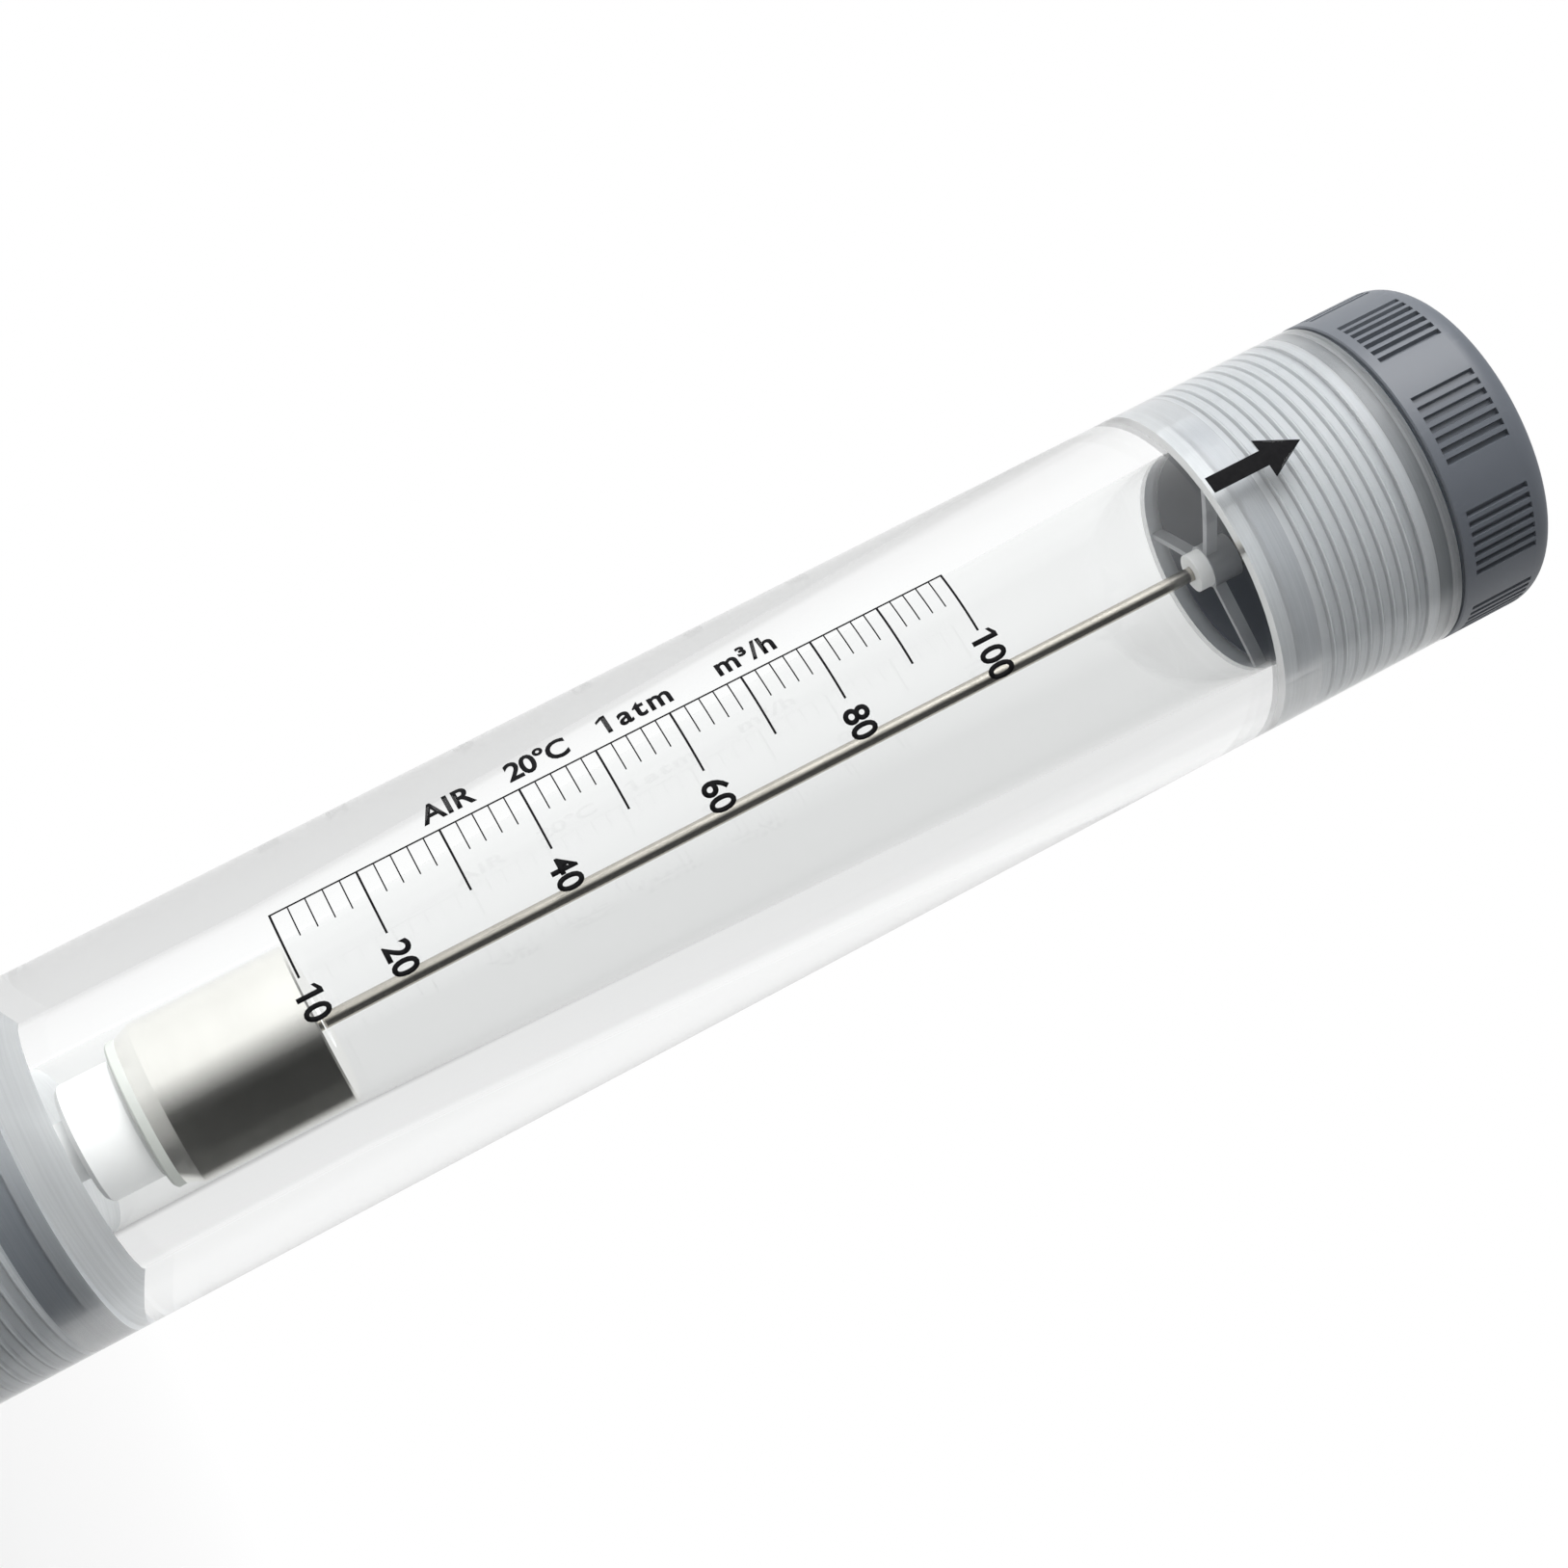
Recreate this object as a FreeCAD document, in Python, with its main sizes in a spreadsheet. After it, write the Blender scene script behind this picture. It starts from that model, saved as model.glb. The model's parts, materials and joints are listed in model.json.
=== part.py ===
"""Rotameter for air: clear tapered tube, metal float on a rod, screwed end fittings.

The meter stands upright on its lower end fitting. The flow enters at the bottom and
leaves at the top, so +Z is the flow direction. Z = 0 is the lower fitting's end face
and the Z axis is the axis of the tube. All lengths are millimetres.
"""
import FreeCAD
import Part
import Sketcher
import os

doc = FreeCAD.newDocument("Rotameter")

# ---------------------------------------------------------------------------
# Driving dimensions
# ---------------------------------------------------------------------------
SIZES = [
    # metering tube
    ("tube_diameter", 70.0, "outside of the clear tube"),
    ("tube_length", 326.0, "clear tube, end to end"),
    ("tube_edge_chamfer", 0.5, "broken edges of the tube's ends"),
    ("mouth_wall", 4.4, "tube wall round the plain mouth, where the seal ring sits"),
    ("mouth_step", 2.2, "from the mouth in to the core of the tube's female thread"),
    ("socket_depth", 39.0, "from the tube's end to the inner shoulder"),
    ("shoulder_width", 4.8, "seat for the spider, round the wide end of the bore"),
    ("bore_rest_diameter", 33.9, "straight chamber where the float rests"),
    ("inlet_cone_length", 7.0, "lower shoulder to the rest chamber"),
    ("taper_start", 52.8, "start of the long taper above the lower shoulder"),
    # end fittings
    ("flange_proud", 0.1, "grip flange beyond the tube's surface"),
    ("flange_length", 21.8, "grip flange along the axis"),
    ("flange_gap", 0.4, "gap between flange and tube end"),
    ("flange_rounding", 5.5, "rounded outer rim of the flange"),
    ("flange_edge_chamfer", 0.3, "broken edge beside the tube"),
    ("register_clearance", 0.15, "radial gap of the fitting's collars in the mouth"),
    ("register_length", 1.2, "first collar, between flange and seal"),
    ("seal_section", 3.0, "thickness of the seal ring"),
    ("seal_groove_width", 3.6, "width of the seal's groove"),
    ("second_collar_length", 1.6, "collar between seal and thread"),
    ("collar_clearance", 0.6, "from the second collar to the step in the mouth"),
    ("thread_clearance", 0.25, "radial gap between the two thread cores"),
    ("spigot_chamfer", 1.0, "lead-in of the spigot"),
    ("spigot_wall", 3.05, "spigot round the pipe socket, which takes a 50 mm pipe"),
    ("pipe_socket_depth", 31.0, "depth of the pipe socket"),
    ("pipe_mouth_chamfer", 1.0, "lead-in of the pipe socket"),
    ("pipe_ledge", 2.1, "ledge that the pipe butts against"),
    # grip grooves
    ("groove_groups", 9, "groups of grooves round the flange"),
    ("grooves_per_group", 7, "grooves in each group"),
    ("groove_pitch_angle", 3.7, "angle between neighbouring grooves"),
    ("groove_width", 1.35, "width at the surface"),
    ("groove_floor_width", 0.9, "width at the floor"),
    ("groove_depth", 1.0, "depth below the flange's surface"),
    ("groove_length", 13.8, "length along the axis"),
    ("groove_margin", 2.4, "plain band beside the tube"),
    ("upper_fitting_turn", 4.1, "where the upper thread comes tight"),
    ("lower_fitting_turn", 21.0, "where the lower thread comes tight"),
    # spiders
    ("spider_clearance", 0.2, "radial gap of the spider ring in the socket"),
    ("spider_ring_height", 3.0, "ring of the spider, clamped by the spigot"),
    ("hub_diameter", 9.0, "hub that holds the rod"),
    ("hub_length", 6.1, "hub along the axis"),
    ("hub_recess", 0.4, "hub face behind the shoulder"),
    ("spoke_width", 1.4, "across a spoke"),
    ("spoke_recess", 0.2, "spokes inside the ring's back face"),
    ("spoke_count", 3, "spokes of each spider"),
    # guide rod and its fasteners
    ("rod_diameter", 3.0, "guide rod"),
    ("rod_hole_clearance", 0.05, "radial gap in hubs, washers and stops"),
    ("rod_end_chamfer", 0.4, "rod ends"),
    ("rod_overhang", 1.0, "rod end beyond the nut"),
    ("washer_diameter", 7.0, "rod washer"),
    ("washer_thickness", 0.5, "rod washer"),
    ("nut_across_flats", 5.5, "rod nut"),
    ("nut_height", 2.4, "rod nut"),
    # stops
    ("stop_head_diameter", 24.0, "lower buffer, where the float lands"),
    ("stop_head_height", 11.9, "lower buffer's head"),
    ("stop_stem_diameter", 12.0, "lower buffer's stem"),
    ("stop_chamfer", 1.0, "broken edges of the buffer's head"),
    ("upper_stop_diameter", 8.0, "upper buffer ring"),
    ("upper_stop_height", 3.0, "upper buffer ring"),
    # float
    ("float_rest_height", 19.5, "float's underside above the lower shoulder"),
    ("float_clearance", 0.45, "radial gap from the rest chamber to the reading edge"),
    ("float_height", 36.3, "float with its foot"),
    ("float_edge_chamfer", 0.4, "broken reading edge"),
    ("float_bevel_height", 3.4, "bevel of the lower end"),
    ("foot_inset", 1.4, "foot ring inside the reading edge, and width of the bevel"),
    ("foot_height", 2.2, "foot ring"),
    ("foot_chamfer", 0.5, "broken lower edge of the foot ring"),
    ("bush_wall", 1.92, "guide bush in the float"),
    ("bush_length", 8.0, "guide bush with its flange"),
    ("bush_flange_width", 2.0, "flange of the guide bush beyond its barrel"),
    ("bush_flange_height", 1.2, "flange of the guide bush"),
    ("bush_running_clearance", 0.08, "radial gap between bush and rod"),
    ("bush_seat_clearance", 0.02, "radial gap between bush and float"),
]

sheet = doc.addObject("Spreadsheet::Sheet", "Sizes")
sheet.Label = "Sizes"
for row, (alias, value, note) in enumerate(SIZES, start=1):
    sheet.set("A%d" % row, note)
    sheet.set("B%d" % row, str(value))
    sheet.setAlias("B%d" % row, alias)
doc.recompute()


def size(alias):
    """Number in the sheet under this alias."""
    return float(getattr(sheet, alias))


def half(alias):
    """Expression for the radius that belongs to a diameter in the sheet."""
    return "(Sizes.%s / 2)" % alias


# Radii that several pieces share.
TUBE_R = half("tube_diameter")
MOUTH_R = "(%s - Sizes.mouth_wall)" % TUBE_R
THREAD_R = "(%s - Sizes.mouth_step)" % MOUTH_R
SPIGOT_R = "(%s - Sizes.thread_clearance)" % THREAD_R
BORE_TOP_R = "(%s - Sizes.shoulder_width)" % THREAD_R
BORE_REST_R = half("bore_rest_diameter")
FLANGE_R = "(%s + Sizes.flange_proud)" % TUBE_R
ROD_R = half("rod_diameter")
ROD_HOLE_R = "(%s + Sizes.rod_hole_clearance)" % ROD_R
BUSH_HOLE_R = "(%s + Sizes.bush_running_clearance)" % ROD_R
BUSH_R = "(%s + Sizes.bush_wall)" % BUSH_HOLE_R
BUSH_SEAT_R = "(%s + Sizes.bush_seat_clearance)" % BUSH_R
BUSH_FLANGE_R = "(%s + Sizes.bush_flange_width)" % BUSH_R
BUSH_FLANGE_SEAT_R = "(%s + Sizes.bush_seat_clearance)" % BUSH_FLANGE_R
FLOAT_R = "(%s - Sizes.float_clearance)" % BORE_REST_R
FOOT_R = "(%s - Sizes.foot_inset)" % FLOAT_R

# Levels of one end, counted from the fitting's end face towards the middle of the meter.
TUBE_END = "(Sizes.flange_length + Sizes.flange_gap)"
SEAL_START = "(Sizes.flange_length + Sizes.register_length)"
SEAL_END = "(%s + Sizes.seal_groove_width)" % SEAL_START
COLLAR_END = "(%s + Sizes.second_collar_length)" % SEAL_END
MOUTH_END = "(%s + Sizes.collar_clearance)" % COLLAR_END
SHOULDER = "(%s + Sizes.socket_depth)" % TUBE_END
SPIDER_BACK = "(%s - Sizes.spider_ring_height)" % SHOULDER
HUB_FACE = "(%s - Sizes.hub_recess)" % SHOULDER
HUB_BACK = "(%s - Sizes.hub_length)" % HUB_FACE
WASHER_BACK = "(%s - Sizes.washer_thickness)" % HUB_BACK
NUT_BACK = "(%s - Sizes.nut_height)" % WASHER_BACK
ROD_END = "(%s - Sizes.rod_overhang)" % NUT_BACK

# Levels of the whole meter, from the lower end face up.
TUBE_TOP = "(%s + Sizes.tube_length)" % TUBE_END
METER_TOP = "(%s + %s)" % (TUBE_TOP, TUBE_END)
UPPER_MOUTH_END = "(%s - %s)" % (METER_TOP, MOUTH_END)
UPPER_SHOULDER = "(%s - %s)" % (METER_TOP, SHOULDER)
FLOAT_UNDERSIDE = "(%s + Sizes.float_rest_height)" % SHOULDER
FLOAT_TOP = "(%s + Sizes.float_height)" % FLOAT_UNDERSIDE

made = []


# ---------------------------------------------------------------------------
# Helpers
# ---------------------------------------------------------------------------
def new_body(label):
    """Empty body for one physical piece."""
    body = doc.addObject("PartDesign::Body", label)
    body.Label = label
    made.append(body)
    return body


def origin_feature(body, role):
    """Plane or axis of a body's own origin, such as XZ_Plane or Z_Axis."""
    return next(item for item in body.Origin.OriginFeatures if item.Role == role)


def outline(body, name, corners, plane="XZ_Plane"):
    """Closed sketch of straight edges; each corner is a pair of expressions.

    On XZ_Plane a corner is (radius, height), and on XY_Plane it is (x, y).
    """
    sketch = body.newObject("Sketcher::SketchObject", name)
    sketch.AttachmentSupport = [(origin_feature(body, plane), "")]
    sketch.MapMode = "FlatFace"
    points = []
    for across, along in corners:
        points.append(FreeCAD.Vector(
            float(sketch.evalExpression(across)), float(sketch.evalExpression(along)), 0))
    count = len(points)
    for index in range(count):
        sketch.addGeometry(Part.LineSegment(points[index], points[(index + 1) % count]))
    for index in range(count):
        following = (index + 1) % count
        sketch.addConstraint(Sketcher.Constraint("Coincident", index, 2, following, 1))
    for index, (across, along) in enumerate(corners):
        for kind, expression, value in (("DistanceX", across, points[index].x),
                                        ("DistanceY", along, points[index].y)):
            if expression == "0":
                axis = -2 if kind == "DistanceX" else -1
                sketch.addConstraint(Sketcher.Constraint("PointOnObject", index, 1, axis))
                continue
            number = sketch.addConstraint(Sketcher.Constraint(kind, -1, 1, index, 1, value))
            sketch.setExpression("Constraints[%d]" % number, expression)
    return sketch


def revolve(body, name, corners):
    """Turned form: the outline of (radius, height) corners about the Z axis."""
    sketch = outline(body, name + "Outline", corners)
    turned = body.newObject("PartDesign::Revolution", name)
    turned.Profile = sketch
    turned.ReferenceAxis = (sketch, ["V_Axis"])
    turned.Angle = 360
    body.Tip = turned
    return turned


def circle_edges(feature, radius, height):
    """Names of the feature's whole circles of this radius at this height."""
    names = []
    for number, edge in enumerate(feature.Shape.Edges, start=1):
        if not isinstance(edge.Curve, Part.Circle):
            continue
        same_radius = abs(edge.Curve.Radius - radius) < 1e-6
        same_height = abs(edge.Curve.Center.z - height) < 1e-6
        if same_radius and same_height:
            names.append("Edge%d" % number)
    return names


def round_edges(body, name, base, edges, alias):
    """Fillet whose radius is a value in the sheet."""
    doc.recompute()
    fillet = body.newObject("PartDesign::Fillet", name)
    fillet.Base = (base, edges)
    fillet.setExpression("Radius", "Sizes." + alias)
    body.Tip = fillet
    return fillet


def place_at_top(item, turn=0.0):
    """Turn a piece made in the lower end's frame over onto the upper end."""
    flip = FreeCAD.Rotation(FreeCAD.Vector(1, 0, 0), 180)
    clocking = FreeCAD.Rotation(FreeCAD.Vector(0, 0, 1), turn)
    item.Placement = FreeCAD.Placement(FreeCAD.Vector(0, 0, 0), flip.multiply(clocking))
    item.setExpression("Placement.Base.z", METER_TOP)


# ---------------------------------------------------------------------------
# Metering tube
# ---------------------------------------------------------------------------
def make_metering_tube():
    """Thick clear tube with its bore: inlet cone, rest chamber and long taper."""
    body = new_body("metering_tube")
    chamfer = "Sizes.tube_edge_chamfer"
    revolve(body, "Tube", [
        ("%s - %s" % (TUBE_R, chamfer), TUBE_END),
        (TUBE_R, "%s + %s" % (TUBE_END, chamfer)),
        (TUBE_R, "%s - %s" % (TUBE_TOP, chamfer)),
        ("%s - %s" % (TUBE_R, chamfer), TUBE_TOP),
        ("%s + %s" % (MOUTH_R, chamfer), TUBE_TOP),
        (MOUTH_R, "%s - %s" % (TUBE_TOP, chamfer)),
        (MOUTH_R, UPPER_MOUTH_END),
        (THREAD_R, UPPER_MOUTH_END),
        (THREAD_R, UPPER_SHOULDER),
        (BORE_TOP_R, UPPER_SHOULDER),
        (BORE_REST_R, "%s + Sizes.taper_start" % SHOULDER),
        (BORE_REST_R, "%s + Sizes.inlet_cone_length" % SHOULDER),
        (BORE_TOP_R, SHOULDER),
        (THREAD_R, SHOULDER),
        (THREAD_R, MOUTH_END),
        (MOUTH_R, MOUTH_END),
        (MOUTH_R, "%s + %s" % (TUBE_END, chamfer)),
        ("%s + %s" % (MOUTH_R, chamfer), TUBE_END),
    ])


# ---------------------------------------------------------------------------
# One end of the meter, made in the lower end's frame
# ---------------------------------------------------------------------------
def make_end_fitting(side):
    """Grip flange, seal groove, threaded spigot and pipe socket in one moulding."""
    body = new_body(side + "_end_fitting")
    collar_r = "(%s - Sizes.register_clearance)" % MOUTH_R
    groove_r = "(%s - Sizes.seal_section)" % MOUTH_R
    socket_r = "(%s - Sizes.spigot_wall)" % SPIGOT_R
    passage_r = "(%s - Sizes.pipe_ledge)" % socket_r
    edge = "Sizes.flange_edge_chamfer"
    lead = "Sizes.spigot_chamfer"
    mouth = "Sizes.pipe_mouth_chamfer"
    turned = revolve(body, "Turning", [
        ("%s + %s" % (socket_r, mouth), "0"),
        (FLANGE_R, "0"),
        (FLANGE_R, "Sizes.flange_length - %s" % edge),
        ("%s - %s" % (FLANGE_R, edge), "Sizes.flange_length"),
        (collar_r, "Sizes.flange_length"),
        (collar_r, SEAL_START),
        (groove_r, SEAL_START),
        (groove_r, SEAL_END),
        (collar_r, SEAL_END),
        (collar_r, COLLAR_END),
        (SPIGOT_R, COLLAR_END),
        (SPIGOT_R, "%s - %s" % (SPIDER_BACK, lead)),
        ("%s - %s" % (SPIGOT_R, lead), SPIDER_BACK),
        (passage_r, SPIDER_BACK),
        (passage_r, "Sizes.pipe_socket_depth"),
        (socket_r, "Sizes.pipe_socket_depth"),
        (socket_r, mouth),
    ])
    doc.recompute()
    rim = circle_edges(turned, size("tube_diameter") / 2 + size("flange_proud"), 0.0)
    rounded = round_edges(body, "RoundedRim", turned, rim, "flange_rounding")
    cut_grip_grooves(body, rounded)
    return body


def cut_grip_grooves(body, base):
    """Groups of short axial grooves: one groove, repeated in its group and round."""
    outer = "(%s + Sizes.groove_depth)" % FLANGE_R
    surface_slope = "((Sizes.groove_width - Sizes.groove_floor_width) / 2)"
    floor_half = half("groove_floor_width")
    outer_half = "(Sizes.groove_width / 2 + %s)" % surface_slope
    floor = "(%s - Sizes.groove_depth)" % FLANGE_R
    sketch = outline(body, "GrooveSection", [
        (floor, "-" + floor_half),
        (outer, "-" + outer_half),
        (outer, outer_half),
        (floor, floor_half),
    ], plane="XY_Plane")
    sketch.setExpression(
        "AttachmentOffset.Base.z",
        "Sizes.flange_length - Sizes.groove_margin - Sizes.groove_length")
    doc.recompute()
    pocket = body.newObject("PartDesign::Pocket", "Groove")
    pocket.Profile = sketch
    pocket.Reversed = True
    pocket.setExpression("Length", "Sizes.groove_length")
    doc.recompute()

    axis = (origin_feature(body, "Z_Axis"), [""])
    grooves = body.newObject("PartDesign::MultiTransform", "GripGrooves")
    grooves.Originals = [pocket]
    in_group = body.newObject("PartDesign::PolarPattern", "InGroup")
    in_group.Axis = axis
    in_group.setExpression("Angle", "Sizes.groove_pitch_angle * (Sizes.grooves_per_group - 1)")
    in_group.setExpression("Occurrences", "Sizes.grooves_per_group")
    around = body.newObject("PartDesign::PolarPattern", "AroundFlange")
    around.Axis = axis
    around.Angle = 360
    around.setExpression("Occurrences", "Sizes.groove_groups")
    grooves.Transformations = [in_group, around]
    body.Tip = grooves


def make_o_ring(side):
    """Seal ring squeezed in its groove: a round cord with a flat where it is pressed."""
    body = new_body(side + "_o_ring")
    radius = "(Sizes.seal_section / 2)"
    centre = "(%s - %s)" % (MOUTH_R, radius)
    level = "(%s + Sizes.seal_groove_width / 2)" % SEAL_START
    flat = "(%s * tan(22.5 deg))" % radius
    around = [(radius, "-" + flat), (radius, flat), (flat, radius), ("-" + flat, radius),
              ("-" + radius, flat), ("-" + radius, "-" + flat),
              ("-" + flat, "-" + radius), (flat, "-" + radius)]
    revolve(body, "Seal", [
        ("%s + %s" % (centre, across), "%s + %s" % (level, along)) for across, along in around])
    return body


def make_spider(side):
    """Ring clamped on the tube's shoulder, with thin spokes to the rod's hub."""
    body = new_body(side + "_spider")
    ring_r = "(%s - Sizes.spider_clearance)" % THREAD_R
    hub_r = half("hub_diameter")
    revolve(body, "Ring", [
        (BORE_TOP_R, SPIDER_BACK),
        (ring_r, SPIDER_BACK),
        (ring_r, SHOULDER),
        (BORE_TOP_R, SHOULDER),
    ])
    spoke_sketch = outline(body, "SpokeOutline", [
        ("0", "-" + half("spoke_width")),
        ("(%s + Sizes.spoke_width)" % BORE_TOP_R, "-" + half("spoke_width")),
        ("(%s + Sizes.spoke_width)" % BORE_TOP_R, half("spoke_width")),
        ("0", half("spoke_width")),
    ], plane="XY_Plane")
    spoke_start = "(%s + Sizes.spoke_recess)" % SPIDER_BACK
    spoke_sketch.setExpression("AttachmentOffset.Base.z", spoke_start)
    doc.recompute()
    spoke = body.newObject("PartDesign::Pad", "Spoke")
    spoke.Profile = spoke_sketch
    spoke.setExpression("Length", "%s - %s" % (HUB_FACE, spoke_start))
    doc.recompute()
    spokes = body.newObject("PartDesign::PolarPattern", "Spokes")
    spokes.Originals = [spoke]
    spokes.Axis = (origin_feature(body, "Z_Axis"), [""])
    spokes.Angle = 360
    spokes.setExpression("Occurrences", "Sizes.spoke_count")
    body.Tip = spokes
    doc.recompute()
    revolve(body, "Hub", [
        ("0", HUB_BACK),
        (hub_r, HUB_BACK),
        (hub_r, HUB_FACE),
        ("0", HUB_FACE),
    ])
    doc.recompute()
    hole_sketch = outline(body, "RodHoleOutline", [
        ("0", "%s - 1" % HUB_BACK),
        (ROD_HOLE_R, "%s - 1" % HUB_BACK),
        (ROD_HOLE_R, "%s + 1" % HUB_FACE),
        ("0", "%s + 1" % HUB_FACE),
    ])
    hole = body.newObject("PartDesign::Groove", "RodHole")
    hole.Profile = hole_sketch
    hole.ReferenceAxis = (hole_sketch, ["V_Axis"])
    hole.Angle = 360
    body.Tip = hole
    return body


def make_rod_washer(side):
    """Plain washer between hub and nut."""
    body = new_body(side + "_rod_washer")
    revolve(body, "Washer", [
        (ROD_HOLE_R, WASHER_BACK),
        (half("washer_diameter"), WASHER_BACK),
        (half("washer_diameter"), HUB_BACK),
        (ROD_HOLE_R, HUB_BACK),
    ])
    return body


def make_rod_nut(side):
    """Hexagon nut on the rod's end."""
    blank = doc.addObject("Part::Prism", side + "NutBlank")
    blank.Polygon = 6
    blank.setExpression("Circumradius", "Sizes.nut_across_flats / sqrt(3)")
    blank.setExpression("Height", "Sizes.nut_height")
    blank.setExpression("Placement.Base.z", NUT_BACK)
    hole = doc.addObject("Part::Cylinder", side + "NutHole")
    hole.setExpression("Radius", ROD_R)
    hole.setExpression("Height", "Sizes.nut_height")
    hole.setExpression("Placement.Base.z", NUT_BACK)
    nut = doc.addObject("Part::Cut", side + "_rod_nut")
    nut.Label = side + "_rod_nut"
    nut.Base = blank
    nut.Tool = hole
    made.append(nut)
    return nut


# ---------------------------------------------------------------------------
# Rod, stops and float, in the meter's frame
# ---------------------------------------------------------------------------
def make_guide_rod():
    """Straight rod from nut to nut, with chamfered ends."""
    body = new_body("guide_rod")
    top = "(%s - %s)" % (METER_TOP, ROD_END)
    chamfer = "Sizes.rod_end_chamfer"
    revolve(body, "Rod", [
        ("0", ROD_END),
        ("%s - %s" % (ROD_R, chamfer), ROD_END),
        (ROD_R, "%s + %s" % (ROD_END, chamfer)),
        (ROD_R, "%s - %s" % (top, chamfer)),
        ("%s - %s" % (ROD_R, chamfer), top),
        ("0", top),
    ])


def make_lower_stop():
    """Buffer bush: a slim stem on the hub and a wide head for the float to land on."""
    body = new_body("lower_stop")
    head_r = half("stop_head_diameter")
    stem_r = half("stop_stem_diameter")
    head_bottom = "(%s - Sizes.stop_head_height)" % FLOAT_UNDERSIDE
    chamfer = "Sizes.stop_chamfer"
    revolve(body, "Stop", [
        (ROD_HOLE_R, HUB_FACE),
        (stem_r, HUB_FACE),
        (stem_r, head_bottom),
        ("%s - %s" % (head_r, chamfer), head_bottom),
        (head_r, "%s + %s" % (head_bottom, chamfer)),
        (head_r, "%s - %s" % (FLOAT_UNDERSIDE, chamfer)),
        ("%s - %s" % (head_r, chamfer), FLOAT_UNDERSIDE),
        (ROD_HOLE_R, FLOAT_UNDERSIDE),
    ])


def make_upper_stop():
    """Buffer ring on the rod, under the upper hub."""
    body = new_body("upper_stop")
    hub_face = "(%s - %s)" % (METER_TOP, HUB_FACE)
    bottom = "(%s - Sizes.upper_stop_height)" % hub_face
    revolve(body, "Stop", [
        (ROD_HOLE_R, bottom),
        (half("upper_stop_diameter"), bottom),
        (half("upper_stop_diameter"), hub_face),
        (ROD_HOLE_R, hub_face),
    ])


def make_float_body():
    """Turned float: reading edge at the top, bevel at the bottom, seats for two bushes."""
    body = new_body("float_body")
    bottom = "(%s + Sizes.foot_height)" % FLOAT_UNDERSIDE
    chamfer = "Sizes.float_edge_chamfer"
    recess = "(%s - Sizes.bush_flange_height)" % FLOAT_TOP
    revolve(body, "Float", [
        (BUSH_SEAT_R, bottom),
        (FOOT_R, bottom),
        (FLOAT_R, "%s + Sizes.float_bevel_height" % bottom),
        (FLOAT_R, "%s - %s" % (FLOAT_TOP, chamfer)),
        ("%s - %s" % (FLOAT_R, chamfer), FLOAT_TOP),
        (BUSH_FLANGE_SEAT_R, FLOAT_TOP),
        (BUSH_FLANGE_SEAT_R, recess),
        (BUSH_SEAT_R, recess),
    ])


def make_float_foot():
    """Foot ring under the float, held by the lower bush's flange."""
    body = new_body("float_foot")
    top = "(%s + Sizes.foot_height)" % FLOAT_UNDERSIDE
    recess = "(%s + Sizes.bush_flange_height)" % FLOAT_UNDERSIDE
    chamfer = "Sizes.foot_chamfer"
    revolve(body, "Foot", [
        (BUSH_FLANGE_SEAT_R, FLOAT_UNDERSIDE),
        ("%s - %s" % (FOOT_R, chamfer), FLOAT_UNDERSIDE),
        (FOOT_R, "%s + %s" % (FLOAT_UNDERSIDE, chamfer)),
        (FOOT_R, top),
        (BUSH_SEAT_R, top),
        (BUSH_SEAT_R, recess),
        (BUSH_FLANGE_SEAT_R, recess),
    ])


def make_float_bush(side):
    """Flanged guide bush, flange outwards, that runs on the rod."""
    body = new_body(side + "_float_bush")
    face = FLOAT_TOP if side == "upper" else FLOAT_UNDERSIDE
    inward = "-" if side == "upper" else "+"
    flange_back = "(%s %s Sizes.bush_flange_height)" % (face, inward)
    inner_end = "(%s %s Sizes.bush_length)" % (face, inward)
    revolve(body, "Bush", [
        (BUSH_HOLE_R, face),
        (BUSH_FLANGE_R, face),
        (BUSH_FLANGE_R, flange_back),
        (BUSH_R, flange_back),
        (BUSH_R, inner_end),
        (BUSH_HOLE_R, inner_end),
    ])


# ---------------------------------------------------------------------------
# Assembly, checks and export
# ---------------------------------------------------------------------------
make_metering_tube()
for side in ("lower", "upper"):
    fitting = make_end_fitting(side)
    seal = make_o_ring(side)
    spider = make_spider(side)
    washer = make_rod_washer(side)
    nut = make_rod_nut(side)
    turn = size(side + "_fitting_turn")
    if side == "upper":
        place_at_top(fitting, turn)
        for item in (seal, spider, washer, nut):
            place_at_top(item)
    else:
        fitting.Placement.Rotation = FreeCAD.Rotation(FreeCAD.Vector(0, 0, 1), turn)
make_guide_rod()
make_lower_stop()
make_upper_stop()
make_float_body()
make_float_foot()
make_float_bush("upper")
make_float_bush("lower")
doc.recompute()

for item in doc.Objects:
    if "Invalid" in item.State or "Error" in item.State:
        raise RuntimeError("%s failed: %s" % (item.Label, item.State))
for item in made:
    if item.Shape.isNull() or not item.Shape.isValid() or len(item.Shape.Solids) != 1:
        raise RuntimeError("%s has no single valid solid" % item.Label)

os.makedirs("parts", exist_ok=True)
for item in made:
    item.Shape.exportStep(os.path.join("parts", item.Label + ".step"))
    print("%-20s %10.1f mm3" % (item.Label, item.Shape.Volume))
print("overall height", round(float(sheet.evalExpression(METER_TOP)), 3))
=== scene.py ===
# %% [markdown]
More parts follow.
